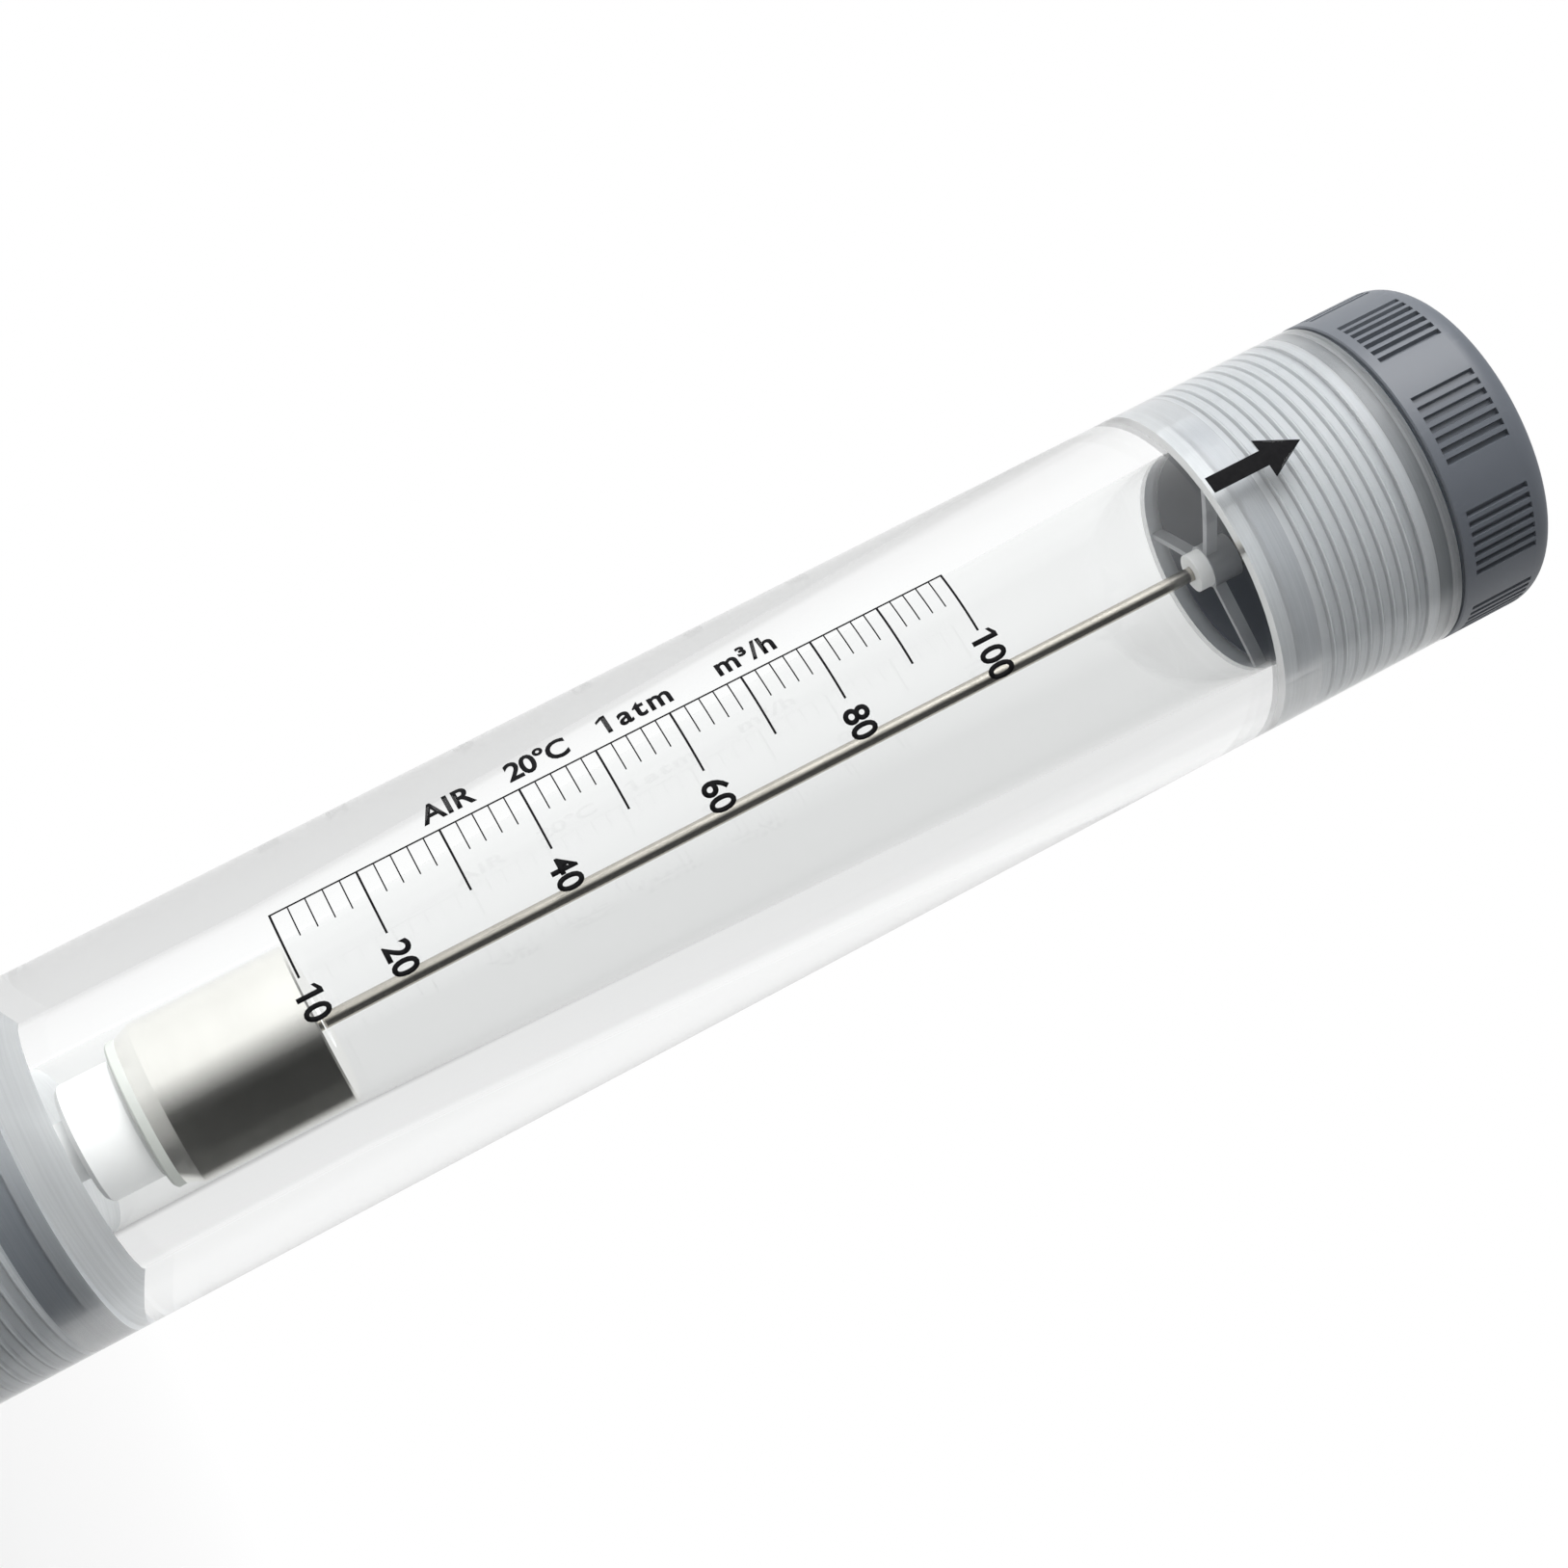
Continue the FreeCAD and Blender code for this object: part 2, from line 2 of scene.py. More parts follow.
# # A flow meter for air
# The object is a rotameter. Air enters at the bottom of a clear tapered tube and lifts a
# metal float that slides on a thin rod, and a printed scale on the tube gives the flow.
# The solids of every piece are already made. Here they get their finishes, and what is
# finer than the solids is added: screw threads, and the ink of the scale. The clear tube
# is made once more, as a smooth surface.
#
# The first cell loads the solids, and a helper in it measures the box of each one.

# %% Load the solids
import json
import math
import bmesh
import bpy
import numpy as np
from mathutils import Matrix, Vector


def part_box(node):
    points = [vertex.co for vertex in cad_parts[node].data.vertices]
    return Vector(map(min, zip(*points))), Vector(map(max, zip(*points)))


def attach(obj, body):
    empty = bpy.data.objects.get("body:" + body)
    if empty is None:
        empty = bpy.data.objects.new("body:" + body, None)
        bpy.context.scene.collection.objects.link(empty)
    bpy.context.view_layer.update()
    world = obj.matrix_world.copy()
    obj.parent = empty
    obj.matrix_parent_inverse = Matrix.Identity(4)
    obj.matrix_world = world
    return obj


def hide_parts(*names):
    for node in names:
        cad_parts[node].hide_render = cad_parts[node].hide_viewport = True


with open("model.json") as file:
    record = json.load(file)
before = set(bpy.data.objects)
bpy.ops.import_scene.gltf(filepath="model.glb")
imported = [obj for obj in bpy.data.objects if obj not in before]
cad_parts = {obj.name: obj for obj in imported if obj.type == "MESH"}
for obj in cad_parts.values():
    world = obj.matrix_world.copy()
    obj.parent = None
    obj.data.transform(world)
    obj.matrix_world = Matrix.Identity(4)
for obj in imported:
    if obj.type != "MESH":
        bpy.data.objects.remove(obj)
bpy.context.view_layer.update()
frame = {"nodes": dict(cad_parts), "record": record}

# %% [markdown]
# ## Measures
# Most places are read from the boxes of the solids, so that they follow if the meter
# changes. The rest are small sizes that a box can't tell, such as a clearance, and have
# names in capitals. All are in metres, and MM keeps them readable.

# %% Measures of the tube and its ends
MM = 0.001


def low_z(node):
    """Lowest level of a solid."""
    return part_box(node)[0].z


def high_z(node):
    """Highest level of a solid."""
    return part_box(node)[1].z


def reach(node):
    """Radius of a round solid that is centred on the tube's axis."""
    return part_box(node)[1].x


SPIDER_CLEARANCE = 0.2 * MM
THREAD_CLEARANCE = 0.25 * MM
FLOAT_CLEARANCE = 0.45 * MM
SEAT_GAP = 0.02 * MM
SEAL_GAP = 0.05 * MM
EDGE_CHAMFER = 0.5 * MM
SHOULDER_WIDTH = 4.8 * MM
MOUTH_DEPTH = 6.6 * MM
INLET_CONE = 7.0 * MM
THREAD_LENGTH = 23.8 * MM
REST_CHAMBER = 52.8 * MM

tube_low = low_z("metering_tube")
tube_high = high_z("metering_tube")
tube_middle = 0.5 * (tube_low + tube_high)
lower_shoulder = high_z("lower_spider")
upper_shoulder = low_z("upper_spider")
taper_start = lower_shoulder + REST_CHAMBER
tube_r = reach("metering_tube")
mouth_r = reach("upper_o_ring")
core_r = reach("upper_spider") + SPIDER_CLEARANCE
spigot_r = core_r - THREAD_CLEARANCE
bore_top_r = core_r - SHOULDER_WIDTH
float_r = reach("float_body")
bore_rest_r = float_r + FLOAT_CLEARANCE
print("tube %.1f mm long, %.1f mm across" % ((tube_high - tube_low) / MM, 2 * tube_r / MM))

# %% [markdown]
# ## From a grid of numbers to a surface
# A turned or screwed piece is a grid of points: rows follow its section, columns go
# round the axis. numpy works out the whole grid at once. The helper then welds the seam,
# turns the faces outwards and marks the corners sharp. The solids themselves are loose
# triangles, fine for a matt piece but not for clear plastic, where each flat would show
# in the refraction. That is why the tube is made again here.

# %% Helper that makes a mesh of a grid
COLUMNS = 256
SAME_PLACE = 1e-6
SHARP_ANGLE = math.radians(2.6)


def signed_volume(points, quads):
    """Volume inside a closed mesh of quads: a sixth of the sum of a . (b x c), per triangle."""
    corners = points[quads]
    total = 0.0
    for second, third in ((1, 2), (2, 3)):
        crossed = np.cross(corners[:, second], corners[:, third])
        total += np.einsum("ij,ij->", corners[:, 0], crossed)
    return total / 6.0


def grid_quads(rows, columns, close_rows):
    """Corner numbers of the quads of a grid of points, stored row after row."""
    last = rows if close_rows else rows - 1
    row = np.arange(last)[:, None]
    column = np.arange(columns - 1)[None, :]
    here = row * columns + column
    above = ((row + 1) % rows) * columns + column
    return np.stack([here, here + 1, above + 1, above], axis=-1).reshape(-1, 4)


def weld(mesh):
    """Join points that lie in the same place, which also removes collapsed faces."""
    work = bmesh.new()
    work.from_mesh(mesh)
    bmesh.ops.remove_doubles(work, verts=work.verts, dist=SAME_PLACE)
    bmesh.ops.dissolve_degenerate(work, edges=work.edges, dist=SAME_PLACE)
    work.to_mesh(mesh)
    work.free()


def make_mesh(name, points, faces, sharp=SHARP_ANGLE):
    """Object at the origin with these points and faces, welded, smooth up to an angle."""
    mesh = bpy.data.meshes.new(name)
    mesh.from_pydata(points, [], faces)
    mesh.validate()
    made = bpy.data.objects.new(name, mesh)
    bpy.context.scene.collection.objects.link(made)
    weld(mesh)
    mesh.shade_smooth()
    mesh.set_sharp_from_angle(angle=sharp)
    print("%s: %d faces" % (name, len(mesh.polygons)))
    return made


def ring_surface(name, radius, height):
    """Closed surface round the axis: radius and height hold one row for each corner.

    The point in a row and column is (r cos a, r sin a, z), where a goes once round.
    """
    angle = np.linspace(0.0, 2.0 * math.pi, radius.shape[1])
    points = np.stack([radius * np.cos(angle), radius * np.sin(angle), height], axis=-1)
    points = points.reshape(-1, 3)
    quads = grid_quads(radius.shape[0], radius.shape[1], True)
    if signed_volume(points, quads) < 0.0:
        quads = quads[:, ::-1]
    return make_mesh(name, points, quads)


# %% [markdown]
# ## The clear tube
# The real tube is cut from a thick bar of clear plastic: the long tapered bore is reamed
# and polished, and both ends are bored out and screw cut. A screw modifier could sweep a
# thread, but its ends would stop dead. Here a row of the grid climbs with the angle, so
# each row follows the thread, and rows that would leave the threaded length are pressed
# flat on its end. The depth fades to nothing there, as where a tool is drawn out.

# %% Thread shape
PITCH = 2.77 * MM
THREAD_DEPTH = 0.9 * MM
LAND_SHARE = 0.54
FLANK_SHARE = 0.19
RUN_OUT = 1.6 * MM
around = np.linspace(0.0, 2.0 * math.pi, COLUMNS + 1)


def thread_rows(low, high, base_r, downwards):
    """Radius and height of the rows of a right-hand thread between two levels.

    A row's height is pitch * (turn + share + a / 2 pi), held between the two levels. The
    radius is the base radius on the wide land, plus the depth in the narrow groove, faded
    near the ends.
    """
    turns = np.arange(math.floor(low / PITCH) - 1, math.ceil(high / PITCH) + 1)
    shares = np.array([0.0, LAND_SHARE, LAND_SHARE + FLANK_SHARE, 1.0 - FLANK_SHARE])
    cut = np.array([0.0, 0.0, 1.0, 1.0])
    start = (turns[:, None] + shares[None, :]).reshape(-1, 1)
    free = PITCH * (start + around[None, :] / (2.0 * math.pi))
    height = np.clip(free, low, high)
    fade = np.clip(np.minimum(height - low, high - height) / RUN_OUT, 0.0, 1.0)
    radius = base_r + THREAD_DEPTH * np.tile(cut, len(turns))[:, None] * fade
    if downwards:
        return radius[::-1], height[::-1]
    return radius, height


def plain_rows(corners):
    """The same two arrays for a plain turned part, from its (radius, height) corners."""
    corners = np.array(corners)
    ones = np.ones((1, COLUMNS + 1))
    return corners[:, :1] * ones, corners[:, 1:] * ones


# %% Tube
upper_step = tube_high - MOUTH_DEPTH
lower_step = tube_low + MOUTH_DEPTH
END_GAP = 0.1 * MM
upper_thread = (upper_step - THREAD_LENGTH, upper_step - END_GAP)
lower_thread = (lower_step + END_GAP, lower_step + THREAD_LENGTH)

sections = [
    plain_rows([
        (tube_r - EDGE_CHAMFER, tube_low),
        (tube_r, tube_low + EDGE_CHAMFER),
        (tube_r, tube_high - EDGE_CHAMFER),
        (tube_r - EDGE_CHAMFER, tube_high),
        (mouth_r + EDGE_CHAMFER, tube_high),
        (mouth_r, tube_high - EDGE_CHAMFER),
        (mouth_r + SEAL_GAP, high_z("upper_o_ring")),
        (mouth_r + SEAL_GAP, low_z("upper_o_ring")),
        (mouth_r, upper_step),
        (core_r, upper_step),
    ]),
    thread_rows(*upper_thread, core_r, True),
    plain_rows([
        (core_r, upper_shoulder - SEAT_GAP),
        (bore_top_r, upper_shoulder - SEAT_GAP),
        (bore_rest_r, taper_start),
        (bore_rest_r, lower_shoulder + INLET_CONE),
        (bore_top_r, lower_shoulder + SEAT_GAP),
        (core_r, lower_shoulder + SEAT_GAP),
    ]),
    thread_rows(*lower_thread, core_r, True),
    plain_rows([
        (core_r, lower_step),
        (mouth_r, lower_step),
        (mouth_r + SEAL_GAP, high_z("lower_o_ring")),
        (mouth_r + SEAL_GAP, low_z("lower_o_ring")),
        (mouth_r, tube_low + EDGE_CHAMFER),
        (mouth_r + EDGE_CHAMFER, tube_low),
    ]),
]
tube = ring_surface(
    "clear_tube",
    np.concatenate([radius for radius, height in sections]),
    np.concatenate([height for radius, height in sections]),
)

# %% [markdown]
# ## The threads of the two end fittings
# Each fitting has the matching thread outside its spigot. It is a thin screwed sleeve
# that covers the plain spigot. It uses the same rows as the tube, so both threads keep
# step, with nearly a quarter of a millimetre of air between them.

# %% Male threads
ROOT_COVER = 0.02 * MM
SLEEVE_WALL = 0.4 * MM


def male_thread(side, low, high):
    """Threaded sleeve round a spigot, between two levels."""
    root_r = spigot_r + ROOT_COVER
    inner = plain_rows([(spigot_r - SLEEVE_WALL, high), (spigot_r - SLEEVE_WALL, low)])
    outer = thread_rows(low, high, root_r, False)
    return ring_surface(
        side + "_spigot_thread",
        np.concatenate([outer[0], inner[0]]),
        np.concatenate([outer[1], inner[1]]),
    )


upper_male = male_thread("upper", upper_thread[0], upper_step)
lower_male = male_thread("lower", lower_step, lower_thread[1])

# %% [markdown]
# ## The scale
# The marks are not evenly spaced. The float hovers where the ring of air round it lets
# the flow through, and the area of that ring grows with the square of the bore's
# diameter, while the bore grows evenly with height. So a mark's height follows from its
# flow: find the bore diameter whose ring area is in proportion, then the level where the
# taper has that diameter. The float's top edge is read against the marks.

# %% Level of a flow
FIRST_FLOW = 10
LAST_FLOW = 100
FIRST_BORE = 34.2 * MM
bore_slope = 2.0 * (bore_top_r - bore_rest_r) / (upper_shoulder - taper_start)


def flow_level(flow):
    """Height of a flow's mark: where bore^2 - float^2 is in proportion to the flow."""
    first_ring = FIRST_BORE ** 2 - (2.0 * float_r) ** 2
    bore = math.sqrt((2.0 * float_r) ** 2 + first_ring * flow / FIRST_FLOW)
    return taper_start + (bore - 2.0 * bore_rest_r) / bore_slope


print("marks from %.1f to %.1f mm" % (flow_level(FIRST_FLOW) / MM, flow_level(LAST_FLOW) / MM))

# %% [markdown]
# ## Ink on a curved wall
# The ink is printed flat and wraps round the tube. So every mark and letter is first laid
# out on a sheet, with x along the way round and y up the tube, and then bent: the way
# round becomes an angle. Ink has a body of its own, a few hundredths of a millimetre, so
# each mark is a thin closed plate and not a picture.

# %% Bend a flat layout onto the tube
INK_AIR = 0.012 * MM
INK_BODY = 0.03 * MM
INK_LOW = tube_r + INK_AIR
INK_HIGH = INK_LOW + INK_BODY
INK_STEP = 1.2 * MM
INK_SHARP = math.radians(30.0)
SCALE_BEARING = math.radians(-90.0)


def bent(flat_x, flat_y, radius):
    """Points on a cylinder: the angle is the way round divided by the tube's radius."""
    angle = SCALE_BEARING + flat_x / tube_r
    return np.stack([radius * np.cos(angle), radius * np.sin(angle), flat_y], axis=-1)


def bars(rectangles):
    """Bent plates for rectangles (x low, x high, y low, y high), as points and faces.

    A plate's section is a loop of rows, over its top and back under it. The last row lies
    on the first.
    """
    skins = np.array([INK_HIGH, INK_HIGH, INK_LOW, INK_LOW, INK_HIGH])
    rows = len(skins)
    all_points = []
    all_faces = []
    count = 0
    for x_low, x_high, y_low, y_high in rectangles:
        columns = max(2, int(math.ceil((x_high - x_low) / INK_STEP)) + 1)
        edges = np.array([y_low, y_high, y_high, y_low, y_low])
        flat_x = np.tile(np.linspace(x_low, x_high, columns), (rows, 1))
        flat_y = np.repeat(edges[:, None], columns, axis=1)
        radius = np.repeat(skins[:, None], columns, axis=1)
        points = bent(flat_x, flat_y, radius).reshape(-1, 3)
        faces = grid_quads(rows, columns, False)[:, ::-1].tolist()
        end = np.arange(rows - 1) * columns
        faces.append(end.tolist())
        faces.append((end[::-1] + columns - 1).tolist())
        all_points.append(points)
        all_faces.extend([[corner + count for corner in face] for face in faces])
        count += len(points)
    return np.concatenate(all_points), all_faces


# %% [markdown]
# ## The marks
# A mark stands at every second unit of flow, and a longer, bolder one at every tenth.
# One line along the tube joins them.

# %% Marks of the scale
LINE = 0.26 * MM
LONG_LINE = 0.44 * MM
BASE_LINE = 0.36 * MM
BASE_X = -22.4 * MM
LONG_X = -8.8 * MM
SHORT_X = -15.9 * MM
SMALL_STEP = 2
LARGE_STEP = 10

marks = []
for flow in range(FIRST_FLOW, LAST_FLOW + 1, SMALL_STEP):
    level = flow_level(flow)
    long_mark = flow % LARGE_STEP == 0
    width = LONG_LINE if long_mark else LINE
    end_x = LONG_X if long_mark else SHORT_X
    marks.append((BASE_X, end_x, level - width / 2, level + width / 2))
base_low = flow_level(FIRST_FLOW) - LONG_LINE / 2
base_high = flow_level(LAST_FLOW) + LONG_LINE / 2
marks.append((BASE_X - BASE_LINE, BASE_X, base_low, base_high))
scale_marks = make_mesh("scale_marks", *bars(marks), sharp=INK_SHARP)

# %% [markdown]
# ## Numbers and words
# The figures, the unit and the state of the air are printed in the same ink. A text
# object gives their outlines. It is made a mesh, as its points can then be bent by the
# same rule as the marks. The font's figure one is a bare stroke, so it gets its flag.

# %% Flat letters
WEIGHT = 0.026
FLAG = ((0.0, 0.0), (-0.19, -0.13), (-0.19, -0.23), (0.0, -0.13))


def add_flag(work, size):
    """Slanting flag on a leading figure one, drawn against the left side of its stem."""
    left = min(vert.co.x for vert in work.verts)
    top = max(vert.co.y for vert in work.verts if vert.co.x < left + 0.01 * size)
    verts = [work.verts.new((left + x * size, top + y * size, 0.0)) for x, y in FLAG]
    work.faces.new(verts)


def flat_letters(name, text, size, spacing):
    """Closed flat plate in the shape of a text, as thick as the ink."""
    curve = bpy.data.curves.new(name, "FONT")
    curve.body = text
    curve.size = size
    curve.align_x = "CENTER"
    curve.align_y = "CENTER"
    curve.offset = WEIGHT * size
    curve.space_character = spacing
    curve.resolution_u = 4
    holder = bpy.data.objects.new(name + "_outline", curve)
    bpy.context.scene.collection.objects.link(holder)
    bpy.context.view_layer.update()
    flat = bpy.data.meshes.new_from_object(holder)
    bpy.data.objects.remove(holder)
    work = bmesh.new()
    work.from_mesh(flat)
    bmesh.ops.remove_doubles(work, verts=work.verts, dist=1e-7)
    if text.startswith("1"):
        add_flag(work, size)
    grown = bmesh.ops.extrude_face_region(work, geom=work.faces[:])
    raised = [item for item in grown["geom"] if isinstance(item, bmesh.types.BMVert)]
    bmesh.ops.translate(work, verts=raised, vec=(0.0, 0.0, INK_HIGH - INK_LOW))
    bmesh.ops.recalc_face_normals(work, faces=work.faces)
    bmesh.ops.triangulate(work, faces=work.faces)
    return work


# %% Letters on the tube
NARROW = 0.92


def lettering(name, text, size, centre, spacing=None):
    """Words on the tube: flat letters, narrowed a little and bent.

    Each point (x, y, z) of the flat letters goes to the cylinder, with z above the ink's
    inner skin. Words with a letter spacing run along the tube, numbers run round it.
    """
    work = flat_letters(name, text, size, spacing or 1.0)
    mesh = bpy.data.meshes.new(name)
    work.to_mesh(mesh)
    work.free()
    points = np.zeros(3 * len(mesh.vertices))
    mesh.vertices.foreach_get("co", points)
    points = points.reshape(-1, 3)
    across = points[:, 0] * NARROW
    upward = points[:, 1]
    if spacing:
        across, upward = -upward, across
    placed = bent(centre[0] + across, centre[1] + upward, INK_LOW + points[:, 2])
    mesh.vertices.foreach_set("co", placed.reshape(-1))
    mesh.update()
    made = bpy.data.objects.new(name, mesh)
    bpy.context.scene.collection.objects.link(made)
    print("%s: %d faces" % (name, len(mesh.polygons)))
    return made


# %% Numbers and words of the scale
NUMBER_SIZE = 6.9 * MM
NUMBER_X = -3.6 * MM
NUMBERED = (10, 20, 40, 60, 80, 100)
WORD_SIZE = 6.9 * MM
WORD_X = -27.1 * MM
WORDS = (
    ("air", "AIR", 32.0, 1.05),
    ("temperature", "20°C", 43.5, 0.92),
    ("pressure", "1atm", 56.6, 1.2),
    ("unit", "m³/h", 72.0, 1.05),
)

letters = []
for flow in NUMBERED:
    centre = (NUMBER_X, flow_level(flow))
    letters.append(lettering("number_%d" % flow, str(flow), NUMBER_SIZE, centre))
for label, text, flow, spacing in WORDS:
    centre = (WORD_X, flow_level(flow))
    letters.append(lettering("word_" + label, text, WORD_SIZE, centre, spacing))

# %% [markdown]
# ## The arrow
# Above the scale the tube carries a plain arrow that points the way the air flows. It is
# drawn as one outline, bent like the letters.

# %% Flow arrow
ARROW_X = -13.4 * MM
ARROW_LOW = upper_shoulder - 1.0 * MM
ARROW_LENGTH = 20.0 * MM
ARROW_HEAD = 8.0 * MM
ARROW_HEAD_WIDTH = 9.0 * MM
ARROW_SHAFT_WIDTH = 3.6 * MM
ARROW_TIP_WIDTH = 0.02 * MM
ARROW_COLUMNS = 13


def arrow_plate():
    """Arrow of a shaft and a head: rows climb the tube, and each has its own width."""
    head_low = ARROW_LENGTH - ARROW_HEAD
    levels = np.array([0.0, head_low, head_low, ARROW_LENGTH])
    widths = np.array(
        [ARROW_SHAFT_WIDTH, ARROW_SHAFT_WIDTH, ARROW_HEAD_WIDTH, ARROW_TIP_WIDTH])
    columns = ARROW_COLUMNS
    share = np.linspace(-0.5, 0.5, columns)
    flat_x = ARROW_X + widths[:, None] * share[None, :]
    flat_y = np.repeat((ARROW_LOW + levels)[:, None], columns, axis=1)
    top = bent(flat_x, flat_y, np.full(flat_x.shape, INK_HIGH))
    bottom = bent(flat_x, flat_y, np.full(flat_x.shape, INK_LOW))
    rows = len(levels)
    upper = grid_quads(rows, columns, False)
    lower = upper[:, ::-1] + rows * columns
    number = np.arange(rows * columns).reshape(rows, columns)
    rim = np.concatenate([number[0], number[1:, -1], number[-1, -2::-1], number[-2:0:-1, 0]])
    following = np.roll(rim, -1)
    below = rows * columns
    side = np.stack([following, rim, rim + below, following + below], axis=-1)
    points = np.concatenate([top.reshape(-1, 3), bottom.reshape(-1, 3)])
    return points, np.concatenate([upper, lower, side])


arrow = make_mesh("flow_arrow", *arrow_plate(), sharp=INK_SHARP)

# %% [markdown]
# ## Shader maths that reads like Python
# A material is a net of nodes. Written node by node it is hard to follow, so one small
# class wraps a socket: adding, subtracting or multiplying two of them adds the Math node
# that does it. Every other node comes from one method of the material's graph.

# %% Socket wrapper and material graph
def grey(level):
    """Colour without a tint."""
    return (level, level, level, 1.0)


class Value:
    """An output socket that can be used in sums."""

    def __init__(self, graph, socket):
        self.graph = graph
        self.socket = socket

    def maths(self, operation, first, second):
        """The socket of a Math node that works out one operation."""
        settings = {"operation": operation}
        return self.graph.node("ShaderNodeMath", settings, {0: first, 1: second})

    def __add__(self, other):
        return self.maths("ADD", self, other)

    def __radd__(self, other):
        return self.maths("ADD", other, self)

    def __sub__(self, other):
        return self.maths("SUBTRACT", self, other)

    def __rsub__(self, other):
        return self.maths("SUBTRACT", other, self)

    def __mul__(self, other):
        return self.maths("MULTIPLY", self, other)

    def __rmul__(self, other):
        return self.maths("MULTIPLY", other, self)

    def __truediv__(self, other):
        return self.maths("DIVIDE", self, other)

    def __pow__(self, other):
        return self.maths("POWER", self, other)


class Graph:
    """The nodes of a material or the world, and the few that nearly every finish needs."""

    def __init__(self, owner, place="Object"):
        owner.use_nodes = True
        self.owner = owner
        self.tree = owner.node_tree
        self.tree.nodes.clear()
        self.place = self.node("ShaderNodeTexCoord", output=place)

    def node(self, kind, settings=None, inputs=None, output=0):
        """Add a node: settings first, then numbers or links for its sockets."""
        made = self.tree.nodes.new(kind)
        for key, value in (settings or {}).items():
            setattr(made, key, value)
        for key, value in (inputs or {}).items():
            if isinstance(value, Value):
                self.tree.links.new(value.socket, made.inputs[key])
            else:
                made.inputs[key].default_value = value
        return Value(self, made.outputs[output])

    def ramp(self, share, stops):
        """Grey that follows a share from 0 to 1 through (position, grey) stops."""
        made = self.node("ShaderNodeValToRGB", {}, {"Fac": share})
        elements = made.socket.node.color_ramp.elements
        while len(elements) < len(stops):
            elements.new(1.0)
        for element, (position, level) in zip(elements, stops):
            element.position = position
            element.color = grey(level)
        return made

    def noise(self, scale, detail=3.0, stretch=(1.0, 1.0, 1.0), roughness=0.5):
        """Soft random pattern from 0 to 1, in object space, stretched along an axis."""
        scaled = self.node(
            "ShaderNodeMapping", {"vector_type": "POINT"},
            {"Vector": self.place, "Scale": stretch})
        return self.node(
            "ShaderNodeTexNoise", {},
            {"Vector": scaled, "Scale": scale, "Detail": detail, "Roughness": roughness}, "Fac")

    def between(self, value, low, high):
        """0 below low, 1 above high, straight between."""
        return self.node(
            "ShaderNodeMapRange", {"clamp": True},
            {"Value": value, "From Min": low, "From Max": high, "To Min": 0.0, "To Max": 1.0})

    def split(self):
        """x, y and z of the object coordinates."""
        parts = self.tree.nodes.new("ShaderNodeSeparateXYZ")
        self.tree.links.new(self.place.socket, parts.inputs[0])
        return [Value(self, output) for output in parts.outputs]

    def radius(self):
        """Distance from the tube's axis."""
        x, y, _ = self.split()
        return (x * x + y * y) ** 0.5

    def mix(self, share, first, second):
        """Colour between two colours."""
        return self.node(
            "ShaderNodeMix", {"data_type": "RGBA"}, {0: share, 6: first, 7: second}, 2)

    def bump(self, height, distance, strength=1.0):
        """Normal that follows a height pattern."""
        return self.node(
            "ShaderNodeBump", {},
            {"Height": height, "Distance": distance, "Strength": strength})

    def shader(self, **inputs):
        """Principled shader. Underscores in the names of its inputs stand for spaces."""
        named = {key.replace("_", " "): value for key, value in inputs.items()}
        return self.node("ShaderNodeBsdfPrincipled", {}, named)

    def finish(self, shader, output="ShaderNodeOutputMaterial"):
        """Make a shader the surface, and give back the material or the world."""
        out = self.tree.nodes.new(output)
        self.tree.links.new(shader.socket, out.inputs["Surface"])
        return self.owner

    def surface(self, **inputs):
        """Material of one Principled shader."""
        return self.finish(self.shader(**inputs))


def material_graph(name):
    """Graph of a new material."""
    return Graph(bpy.data.materials.new(name))


# %% [markdown]
# ## The finishes
# The real tube is cast plastic, polished where it is looked through and left matt by the
# tool where it is screwed and sealed. The fittings are moulded in grey plastic and the
# spiders in a natural one, the seals are rubber, and the stops and the float's foot are
# turned white plastic. The rod is ground steel and the float turned aluminium. Image maps
# could carry the small marks, but noise in the object's own space needs no unwrapping and
# has the same grain on every piece.

# %% [markdown]
# The matt zones of the tube could be made by roughness alone. But rough clear plastic only
# blurs what lies behind it, while screw-cut plastic looks white: its torn surface scatters
# the light. So the clear shader is mixed with a matt white one, by a share for each face.

